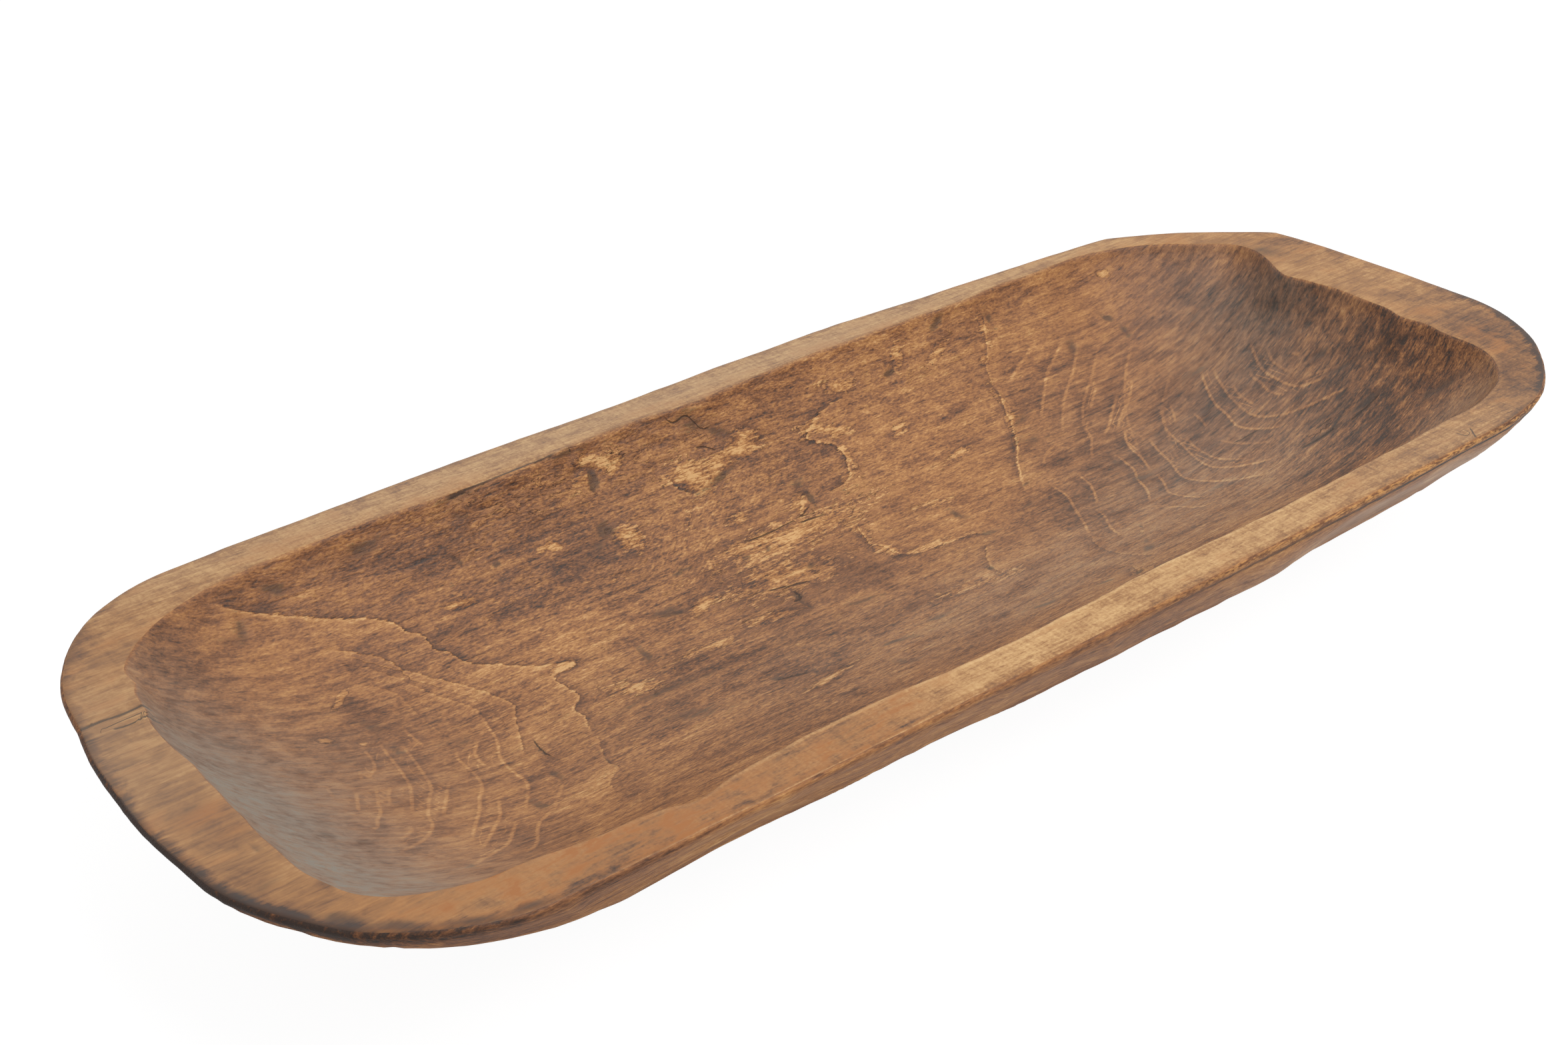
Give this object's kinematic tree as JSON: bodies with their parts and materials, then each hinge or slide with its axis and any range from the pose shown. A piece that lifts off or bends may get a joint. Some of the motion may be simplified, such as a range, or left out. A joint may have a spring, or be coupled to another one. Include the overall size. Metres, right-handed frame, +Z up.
{
  "type": "dough bowl",
  "caption": "Long oblong wooden dough bowl with rounded corners, a level sawn rim, a hewn hollow and a flat foot, carved from one block.",
  "frame": {"origin": "middle of the flat foot that the bowl stands on, which is also the bottom centre of its bounding box", "axes": "+X along the bowl towards its right end, +Y across it towards the far side, +Z up out of the hollow"},
  "size_m": [0.508, 0.1999, 0.06],
  "materials": {
    "stained_wood": "brown stain rubbed thin on the sawn rim, hewn surface, satin wax, dark worn edges"
  },
  "bodies": {
    "root": {"carved_bowl": "stained_wood"}
  },
  "joints": []
}
